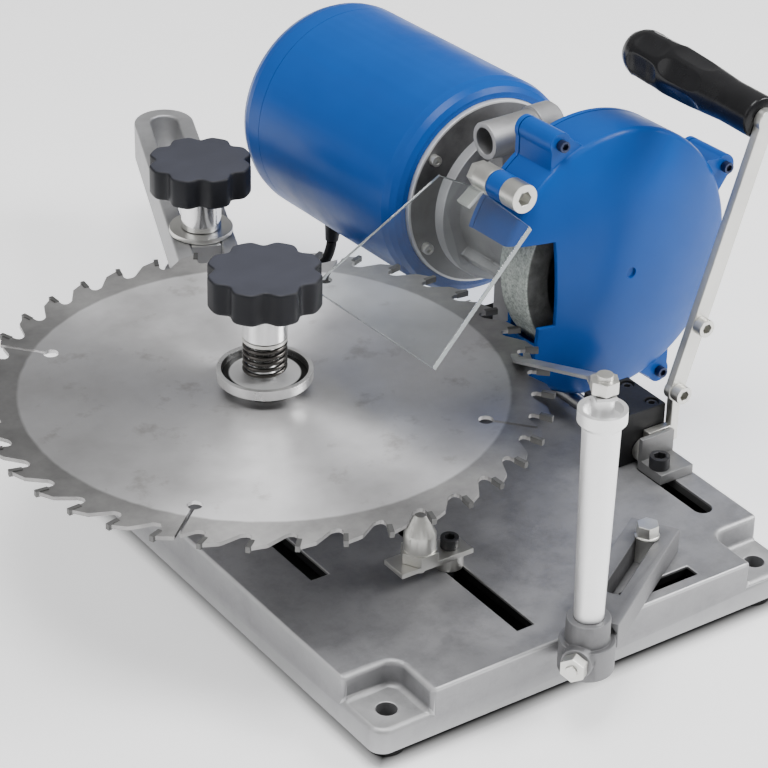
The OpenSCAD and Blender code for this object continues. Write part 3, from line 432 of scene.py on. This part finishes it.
def flange_cast(name):
    """Dark rough casting with a bright turned rim round the motor's axis."""
    n = Nodes(name)
    cloud, grain = n.noise(60, 7, 0.65), n.noise(420, 6, 0.7)
    skin = n.ramp(cloud, [(0.28, (0.10, 0.10, 0.102)), (0.72, (0.20, 0.20, 0.205))])
    x, y, z = n.place_from(HEAD)
    radius = n.length(x, n.weighed(y, math.sin(HEAD_TILT), z, math.cos(HEAD_TILT)))
    rim = n.scaled(radius, (RIM_R - 1.6 * MM, RIM_R - 1.1 * MM))
    n.shade(Base_Color=n.mix(rim, skin, n.ramp(cloud, [(0.3, (0.72, 0.72, 0.72)), (0.7, (0.85, 0.85, 0.85))])),
            Metallic=0.8, Roughness=n.scaled(cloud, MID_NOISE, (0.4, 0.6)))
    n.bump(n.math("ADD", grain, cloud), 0.45, 0.3 * MM)
    return n.mat


def cone_steel(name):
    """Plated cup: bright rim, a middle painted lighter as a stand-in for reflected light, and a groove between them
    painted dark as shade.
    """
    n = Nodes(name)
    x, y, _ = n.place_from(BLADE)
    radius = n.length(x, y)
    cloud, fine = n.noise(55, 6), n.noise(420, 6, 0.65)
    plate = n.ramp(cloud, [(0.3, (0.52, 0.52, 0.52)), (0.7, (0.74, 0.74, 0.735))])
    groove_in = (CONE_R - 6.8 * MM, CONE_R - 6.0 * MM)
    groove_out = (CONE_R - 2.7 * MM, CONE_R - 2.3 * MM)
    # painted shade: the groove between rim and middle is darkened
    groove = n.math("MULTIPLY", n.scaled(radius, groove_in), n.scaled(radius, groove_out, (1.0, 0.0)))
    # painted light: the middle gets a paler tone and more roughness in place of the reflection it lacks
    middle = n.scaled(radius, groove_in, (1.0, 0.0))
    plate = n.mix(middle, plate, n.ramp(cloud, [(0.3, (0.86, 0.86, 0.86)), (0.7, (0.95, 0.95, 0.95))]))
    gloss = n.scaled(cloud, MID_NOISE, (0.22, 0.38))
    n.shade(Base_Color=n.mix(groove, plate, (0.02, 0.02, 0.02)), Metallic=0.8,
            Roughness=n.math("ADD", gloss, n.math("MULTIPLY", middle, 0.25)))
    n.bump(fine, 0.3, 0.05 * MM)
    return n.mat


RIM_R = (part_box("motor_flange")[1].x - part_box("motor_flange")[0].x) / 2
CONE_R = (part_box("clamp_cone")[1].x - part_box("clamp_cone")[0].x) / 2
FINISH = {
    "base_plate": casting("cast_base", (0.42, 0.42, 0.425), deck=(0.315, 0.315, 0.325)),
    "blade_arm": casting("cast_arm", (0.37, 0.37, 0.375)),
    "finger_bracket": casting("cast_bracket", (0.19, 0.19, 0.195)),
    "hinge_bracket": casting("cast_angle", (0.2, 0.2, 0.2)),
    # cast_head is a darker copy of the casting: painted shade for the shadowed neck
    "head_casting": casting("cast_head", (0.34, 0.34, 0.345)),
    "motor_flange": flange_cast("cast_flange"),
    "clamp_cone": cone_steel("cone_plate"),
    "guard_screws": metal("blued", (0.03, 0.04, 0.085), (0.25, 0.4), 400, 0.05 * MM, metallic=0.7),
    "cast_grey": casting("cast_grey", (0.36, 0.36, 0.365)),
    "machined": metal("machined", (0.72, 0.72, 0.73), (0.28, 0.42), 500, 0.06 * MM),
    "zinc": metal("zinc", (0.66, 0.655, 0.62), (0.32, 0.46), 300, 0.04 * MM),
    "steel": metal("steel", (0.5, 0.5, 0.5), (0.28, 0.42), 500, 0.05 * MM),
    "bright": metal("bright", (0.84, 0.84, 0.84), (0.12, 0.22), 200, 0.03 * MM, vary=0.05),
    "finger_post": metal("post_steel", (0.93, 0.93, 0.93), (0.42, 0.5), 260, 0.01 * MM, vary=0.04),
    "blade": disc_steel("blade"),
    "carbide": metal("carbide", (0.14, 0.14, 0.138), (0.45, 0.6), 600, 0.05 * MM),
    "blue": paint("blue", (0.0, 0.064, 0.31)),
    # its tone for level faces is a painted sheen on the tops of the knobs and the plug
    "black_plastic": plastic("black_plastic", (0.01, 0.0106, 0.014), (0.45, 0.58), top_sheen=(0.04, 0.042, 0.055)),
    "hinge_blocks": metal("block_black", (0.011, 0.011, 0.012), (0.5, 0.65), 400, 0.08 * MM, metallic=0.3),
    "grip": plastic("grip_black", (0.008, 0.008, 0.009), (0.2, 0.32), 700, 0.04 * MM),
    "black_steel": metal("black_steel", (0.035, 0.035, 0.038), (0.35, 0.5), 400, 0.08 * MM, metallic=0.6),
    "clamp_spring": metal("spring_steel", (0.09, 0.085, 0.08), (0.2, 0.3), 400, 0.03 * MM),
    "abrasive": abrasive("abrasive"),
    "clear": clear_sheet("clear", (0.95, 0.985, 0.99), 1.0, 0.015),
    "clear_edge": clear_sheet("clear_edge", (0.86, 0.94, 0.95), 0.6, 0.15),
    "black_rubber": plastic("black_rubber", (0.014, 0.014, 0.014), (0.6, 0.8)),
}


def finish_of(node):
    return FINISH.get(node) or FINISH[slot_of[node]]


for node, shown in nodes.items():
    shown.data.materials.clear()
    shown.data.materials.append(finish_of(node))


# Mains cord, first of the pieces: one tube from the gland to the plug, with the unseen length coiled
CORD_D = 6.4 * MM
CORD_EXIT = Vector((122.0680, 281.1930, 26.3902)) * MM
CORD_LEAN = math.radians(7)
BEND, BEND_STEPS = 4 * CORD_D, 16
COIL_AT = Vector((86.4188, 233.1930, 0.0)) * MM
COIL_R, COIL_STEP, LAYER = 48 * MM, 7.1 * MM, 7.0 * MM
LOOP_STEPS, COIL_STEPS = 24, 156
CLIMB_FROM, CLIMB_STEPS = 72, 12


def cord_route():
    """Down from the exit, inwards round the coil, up a layer and outwards again, then straight to the plug."""
    lift = CORD_D / 2
    top = Vector((CORD_EXIT.x, CORD_EXIT.y, lift + BEND * (1 - math.sin(CORD_LEAN))))
    route = [CORD_EXIT.copy()]
    for i in range(BEND_STEPS + 1):
        a = CORD_LEAN + (math.pi / 2 - CORD_LEAN) * i / BEND_STEPS
        route.append(top + BEND * Vector((math.cos(a) - math.cos(CORD_LEAN), 0, math.sin(CORD_LEAN) - math.sin(a))))
    for i in range(2 * COIL_STEPS + 1):
        step = i / 2
        r = COIL_R - COIL_STEP * min(step, COIL_STEPS - step) / LOOP_STEPS
        a = math.radians(90 + 360 / LOOP_STEPS * step)
        climb = min(max((step - CLIMB_FROM) / CLIMB_STEPS, 0), 1)
        rise = lift + LAYER * climb * climb * (3 - 2 * climb)
        route.append(COIL_AT + Vector((r * math.cos(a), r * math.sin(a), rise)))
    end = route[-1]
    return route + [end + Vector((BEND * k / 4, 0, 0)) for k in range(1, 5)]


ROUTE = cord_route()
cord = piece("mains_lead", tube(ROUTE, CORD_D / 2, 14), None, FINISH["black_rubber"],
             ["mains_cord", "cord_coil"])
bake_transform(cord)


def plug_body():
    """Moulded plug along +X: ribbed strain relief, then a rounded body with finger grooves.

    A station is (x, half width, half height, power of the rounded outline), in mm."""
    bm = bmesh.new()
    rings = []
    sides = 64
    stations = [(0, 3.5, 3.5, 2.0)]
    for k in range(5):
        x, r = 0.6 + 2.6 * k, 4.0 + 0.45 * k
        stations += [(x + ahead, r - deep, r - deep, 2.0)
                     for ahead, deep in ((0, 0), (1.5, 0), (1.6, 0.7), (2.5, 0.7))]
    stations += [(13.8, 6.6, 6.2, 2.2), (15.0, 9.2, 8.2, 2.8), (16.6, 11.0, 9.3, 3.4), (18.4, 11.8, 9.8, 4.0)]
    for k in range(3):
        x = 20 + 3.2 * k
        stations += [(x, 11.9, 9.85, 4.2), (x + 0.5, 11.2, 9.5, 4.2), (x + 1.5, 11.2, 9.5, 4.2),
                     (x + 2.0, 11.9, 9.85, 4.2)]
    stations += [(31.0, 11.9, 9.85, 4.5), (34.6, 11.9, 9.85, 4.5), (35.3, 11.6, 9.5, 4.5), (35.5, 10.8, 8.8, 4.5)]
    for x, wide, tall, power in stations:
        ring = []
        for k in range(sides):
            a = math.tau * k / sides
            c, s = math.cos(a), math.sin(a)
            ring.append(bm.verts.new(Vector((x, wide * math.copysign(abs(c) ** (2 / power), c),
                                             tall * math.copysign(abs(s) ** (2 / power), s))) * MM))
        rings.append(ring)
    ring_faces(bm, rings)
    return bm


def plug_pins():
    """Two flat blades, 12 mm apart, with softened tips. A section is (x, half thickness, half height)."""
    bm = bmesh.new()
    for side in (-1, 1):
        rings = []
        for x, y, z in ((35.2, 0.8, 3.2), (51.4, 0.8, 3.2), (52.4, 0.75, 2.7), (53.0, 0.4, 1.9)):
            rings.append([bm.verts.new(Vector((x, side * 6 + y * sy, z * sz)) * MM)
                          for sy, sz in ((-1, -1), (1, -1), (1, 1), (-1, 1))])
        ring_faces(bm, rings)
    return bm


TIE_IN, TIE_OUT, TIE_LOW, TIE_HIGH = 26.0, 45.2, 1.6, 12.8
TIE_R, TIE_HALF, TIE_THICK = 1.6, 2.6, 0.9
BUCKLE_AT, BUCKLE_SIZE = Vector((38, 0, 15.2)) * MM, (7 * MM, 7.4 * MM, 2.6 * MM)


def cord_tie():
    """Strap round all the turns of the coil at one place, with its buckle on top."""
    bm = bmesh.new()
    path = []
    for (r, z), start in (((TIE_OUT, TIE_HIGH), 0), ((TIE_IN, TIE_HIGH), 90), ((TIE_IN, TIE_LOW), 180),
                          ((TIE_OUT, TIE_LOW), 270)):
        for k in range(5):
            a = math.radians(start + 22.5 * k)
            path.append((r + TIE_R * math.cos(a), z + TIE_R * math.sin(a), math.cos(a), math.sin(a)))
    rings = []
    for r, z, nr, nz in path:
        rings.append([bm.verts.new(COIL_AT + Vector((r + d * nr, w, max(z + d * nz, 0.05))) * MM)
                      for d, w in ((0, -TIE_HALF), (0, TIE_HALF), (-TIE_THICK, TIE_HALF), (-TIE_THICK, -TIE_HALF))])
    for a, b in zip(rings, rings[1:] + rings[:1]):
        for i in range(4):
            j = (i + 1) % 4
            bm.faces.new((a[i], a[j], b[j], b[i]))
    box = bmesh.ops.create_cube(bm, size=1.0, matrix=Matrix.Translation(COIL_AT + BUCKLE_AT)
                                @ Matrix.Diagonal((*BUCKLE_SIZE, 1)))
    edges = {e for v in box["verts"] for e in v.link_edges}
    bmesh.ops.bevel(bm, geom=list(edges), offset=0.7 * MM, segments=2, profile=0.5, affect="EDGES")
    bmesh.ops.recalc_face_normals(bm, faces=bm.faces)
    return bm


plug_at = ROUTE[-1] + Vector((0.3 * MM, 0, 0))
plug_mesh, pin_mesh = plug_body(), plug_pins()
bmesh.ops.translate(plug_mesh, verts=plug_mesh.verts, vec=plug_at)
bmesh.ops.translate(pin_mesh, verts=pin_mesh.verts, vec=plug_at)
plug = piece("plug_moulding", plug_mesh, "base", FINISH["black_plastic"], ["plug"], 30)
pins = piece("plug_pins", pin_mesh, "base", FINISH["bright"])
tie = piece("cord_tie", cord_tie(), "base", FINISH["black_plastic"])
cord_length = sum((b - a).length for a, b in zip(ROUTE, ROUTE[1:]))

# Castings and fittings with rounded edges
SAME, TOUCH = 1e-6, 2e-5
RIM_NEAR = 0.2 * MM
CORNER_X, CORNER_Y = 99.2 * MM, 106.8 * MM
HOLE_CLEAR = 6 * MM
TONGUE_FROM, TONGUE_HALF = 130 * MM, 34 * MM


def base_rim(edge):
    """The deck's and pads' outer edges and the pads' side walls, clear of the tongue, the slots and the holes."""
    a, b = (v.co for v in edge.verts)
    mid = (a + b) / 2
    by_tongue = mid.y > TONGUE_FROM and abs(mid.x - STUD.x) < TONGUE_HALF
    if mid.y > BASE_Y + 0.5 * MM or by_tongue:
        return False
    corner = abs(mid.x) > CORNER_X and abs(mid.y) > CORNER_Y
    rim = abs(mid.x) > BASE_X - RIM_NEAR or abs(mid.y) > BASE_Y - RIM_NEAR
    if abs(a.x - b.x) + abs(a.y - b.y) < SAME:
        return corner and rim and a.z + b.z > 50 * MM
    hole = Vector((math.copysign(BENCH_HOLE_X, mid.x), math.copysign(BENCH_HOLE_Y, mid.y)))
    flat = abs(a.z - b.z) < SAME and (abs(a.z - DECK_Z) < TOUCH or abs(a.z - PAD_Z) < TOUCH)
    return flat and (rim or (corner and (mid.xy - hole).length > HOLE_CLEAR))


rounded("base_plate", FINISH["base_plate"], [(2.8 * MM, 5, base_rim), (0.6 * MM, 2, any_edge)], level=True)
rounded("blade_arm", FINISH["blade_arm"], [(1.6 * MM, 3, any_edge)])
EDGE_WIDTHS = {
    "finger_bracket": 0.8, "head_casting": 0.8, "motor_flange": 0.7, "guard_cover": 0.5, "hinge_blocks": 0.7,
    "hinge_bracket": 0.5, "rubber_feet": 0.8, "head_lever": 0.6, "arm_washer": 0.4, "clamp_cone": 0.35,
    "arm_lock_hub": 0.5, "clamp_hub": 0.5, "spring_washer": 0.3, "stop_plate": 0.4, "stop_pin": 0.35,
    "stop_spacer": 0.3, "bracket_bolt": 0.4, "post_clamp_bolt": 0.4, "finger_bolt": 0.35, "guard_screws": 0.3,
    "flange_screws": 0.25, "lever_screws": 0.3, "shield_screw": 0.4, "shield_clip": 0.4, "stop_screw": 0.3,
    "bracket_screw": 0.4, "block_screws": 0.3, "grinding_wheel": 0.5, "tooth_finger": 0.2}
for node, width in EDGE_WIDTHS.items():
    rounded(node, finish_of(node), [(width * MM, 2, any_edge)])

# Star knobs
KNOB_R, KNOB_H, LOBES, DIP = 30.0, 18.0, 8, 4.0
DIP_HALF, KNOB_TURN = math.radians(15.5), math.radians(-9)


def knob(name, node, at):
    """Eight rounded lobes with a softened rim and a faintly domed top."""
    def outline(inset):
        def radius(angle):
            pitch = math.tau / LOBES
            off = abs((angle - KNOB_TURN) % pitch - pitch / 2) / DIP_HALF
            dip = 0.5 * (1 + math.cos(math.pi * off)) if off < 1 else 0.0
            return (KNOB_R - DIP * dip - inset) * MM
        return radius

    foot = [(0.9, 6), (0.0, 4.6), (0.0, 1.6), (0.25, 0.8), (0.8, 0.2), (1.6, 0)]
    crown = [(-1.5, 0), (-0.75, 0.2), (-0.25, 0.65), (0.0, 1.5), (0.1, 6), (0.15, 14)]
    sections = [(0.9, 12.4 * MM)] + [(z, outline(inset)) for z, inset in foot]
    sections += [(KNOB_H + z, outline(inset)) for z, inset in crown] + [(KNOB_H + 0.15, 4 * MM)]
    bm = shaped([(z * MM, r) for z, r in sections], 192)
    bmesh.ops.translate(bm, verts=bm.verts, vec=at)
    return piece(name, bm, body_of[node], FINISH["black_plastic"], [node], 60)


knob("clamp_star", "clamp_knob", BLADE + Vector((0, 0, 52 * MM)))
knob("lock_star", "arm_lock_knob", STUD + Vector((0, 0, 107.1 * MM)))

# Clamp spring: a helix of round wire
SPRING_TURNS, SPRING_LOW, SPRING_HIGH = 5, 107.9, 124.8
SPRING_R, WIRE_R = 10.6 * MM, 1.1 * MM


def spring_route():
    steps = 48 * SPRING_TURNS
    return [Vector((BLADE.x + SPRING_R * math.cos(math.tau * SPRING_TURNS * i / steps),
                    BLADE.y + SPRING_R * math.sin(math.tau * SPRING_TURNS * i / steps),
                    (SPRING_LOW + (SPRING_HIGH - SPRING_LOW) * i / steps) * MM)) for i in range(steps + 1)]


spring = piece("clamp_coil", tube(spring_route(), WIRE_R, 14), "arm", FINISH["clamp_spring"],
               ["clamp_spring"])
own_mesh(spring)

# Hand grip: (distance along it, radius) in mm, and two rings of staggered finger hollows
GRIP_PROFILE = [(0, 10.6), (0.5, 11.2), (1.5, 11.6), (25, 11.5), (50, 13.3), (79, 14.5), (94, 14.0), (99, 12.7),
                (103, 10.5), (105.4, 8.0), (106.6, 5.4), (107, 2.5)]
GRIP_STATIONS = ([0, 0.5, 1.5] + [2 + 0.8 * k for k in range(120)]
                 + [98.5, 100, 101.5, 103, 104.2, 105.4, 106, 106.6, 107])
HOLLOW_RINGS = ((83, 13, 0.0), (54, 16, math.pi / 6))  # middle, half length, turn
HOLLOW_DEPTH, HOLLOW_HALF = 1.5, math.radians(25)


def hand_grip():
    low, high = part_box("grip")
    x, z = (low.x + high.x) / 2, (low.z + high.z) / 2

    def plain(s):
        for (a, ra), (b, rb) in zip(GRIP_PROFILE, GRIP_PROFILE[1:]):
            if a <= s <= b:
                return ra + (rb - ra) * (s - a) / (b - a)
        return GRIP_PROFILE[-1][1]

    def radius(s):
        full = plain(s)

        def at(angle):
            r = full
            for middle, half, shift in HOLLOW_RINGS:
                t = abs(s - middle) / half
                if t < 1:
                    wide = HOLLOW_HALF * math.sqrt(1 - t ** 4)
                    off = ((angle - shift + math.pi / 6) % (math.pi / 3) - math.pi / 6) / max(wide, 1e-6)
                    if abs(off) < 1:
                        r -= HOLLOW_DEPTH * (1 - t ** 4) * (1 - off * off)
            return r * MM
        return at

    bm = shaped([(s * MM, radius(s)) for s in GRIP_STATIONS], 144)
    bmesh.ops.rotate(bm, verts=bm.verts, cent=(0, 0, 0), matrix=Matrix.Rotation(-math.pi / 2, 3, "X"))
    bmesh.ops.translate(bm, verts=bm.verts, vec=(x, low.y, z))
    return piece("hand_grip", bm, "head", FINISH["grip"], ["grip"], 50)


hand_grip()


# Eye shield: clear faces, with duller sawn edges
def shield_sheet():
    sheet = rounded("eye_shield", FINISH["clear"], [(0.35 * MM, 2, any_edge)])
    sheet.data.set_sharp_from_angle(angle=math.radians(8))
    sheet.data.materials.append(FINISH["clear_edge"])
    faces = sheet.data.polygons
    flat = max(faces, key=lambda p: p.area).normal.copy()
    for face in faces:
        face.material_index = int(abs(face.normal.dot(flat)) < 0.9)


shield_sheet()

# Studio: pale glowing floor with a painted shadow under the base, a graded sky and three soft lights
FLOOR_HALF, FLOOR_GLOW = 6, 0.62
SHADE_X, SHADE_Y, SHADE_FADE = 122 * MM, 131 * MM, 12 * MM
SKY_LOW, SKY_HIGH = 0.22, 0.62
AIM = Vector((0, 0.05, 0.08))
LIGHTS = (("top", (-0.15, 0.0, 1.7), 0.8, 22), ("right", (1.25, -0.75, 1.25), 0.8, 34),
          ("left", (-1.3, 0.3, 0.9), 1.0, 5))  # name, place, size, power


def make_floor():
    mesh = bpy.data.meshes.new("floor")
    corners = [(x * FLOOR_HALF, y * FLOOR_HALF, 0) for x, y in ((-1, -1), (1, -1), (1, 1), (-1, 1))]
    mesh.from_pydata(corners, [], [(0, 1, 2, 3)])
    floor = bpy.data.objects.new("floor", mesh)
    bpy.context.scene.collection.objects.link(floor)
    n = Nodes("floor")
    x, y, _ = n.parts(n.place)
    # painted shadow: under the base's footprint the floor is dark and does not glow
    out = n.math("MAXIMUM", n.math("SUBTRACT", n.math("ABSOLUTE", x), SHADE_X),
                 n.math("SUBTRACT", n.math("ABSOLUTE", y), SHADE_Y))
    clear = n.scaled(out, (0.0, SHADE_FADE))
    pale = n.ramp(n.noise(3, 3), [(0.3, (0.88, 0.88, 0.885)), (0.7, (0.92, 0.92, 0.92))])
    n.shade(Base_Color=n.mix(clear, (0.05, 0.05, 0.05), pale), Roughness=0.8,
            Emission_Strength=n.math("MULTIPLY", clear, FLOOR_GLOW))
    n.fixed("Emission Color", (1, 1, 1, 1))
    mesh.materials.append(n.mat)


def make_sky():
    world = bpy.data.worlds.new("studio")
    world.use_nodes = True
    tree = world.node_tree
    back = tree.nodes["Background"]
    back.inputs["Strength"].default_value = 1.0
    place = tree.nodes.new("ShaderNodeTexCoord")
    split = tree.nodes.new("ShaderNodeSeparateXYZ")
    fade = tree.nodes.new("ShaderNodeValToRGB")
    for element, at, grey in zip(fade.color_ramp.elements, (0.0, 1.0), (SKY_LOW, SKY_HIGH)):
        element.position, element.color = at, (grey, grey, grey, 1)
    tree.links.new(place.outputs["Generated"], split.inputs["Vector"])
    tree.links.new(split.outputs["Z"], fade.inputs["Fac"])
    tree.links.new(fade.outputs["Color"], back.inputs["Color"])
    bpy.context.scene.world = world


def make_lights():
    for label, at, size, power in LIGHTS:
        light = bpy.data.lights.new(label, "AREA")
        light.size, light.energy = size, power
        lamp = bpy.data.objects.new(label, light)
        lamp.location = at
        lamp.rotation_mode = "QUATERNION"
        lamp.rotation_quaternion = (AIM - Vector(at)).to_track_quat("-Z", "Y")
        bpy.context.scene.collection.objects.link(lamp)


make_floor()
make_sky()
make_lights()
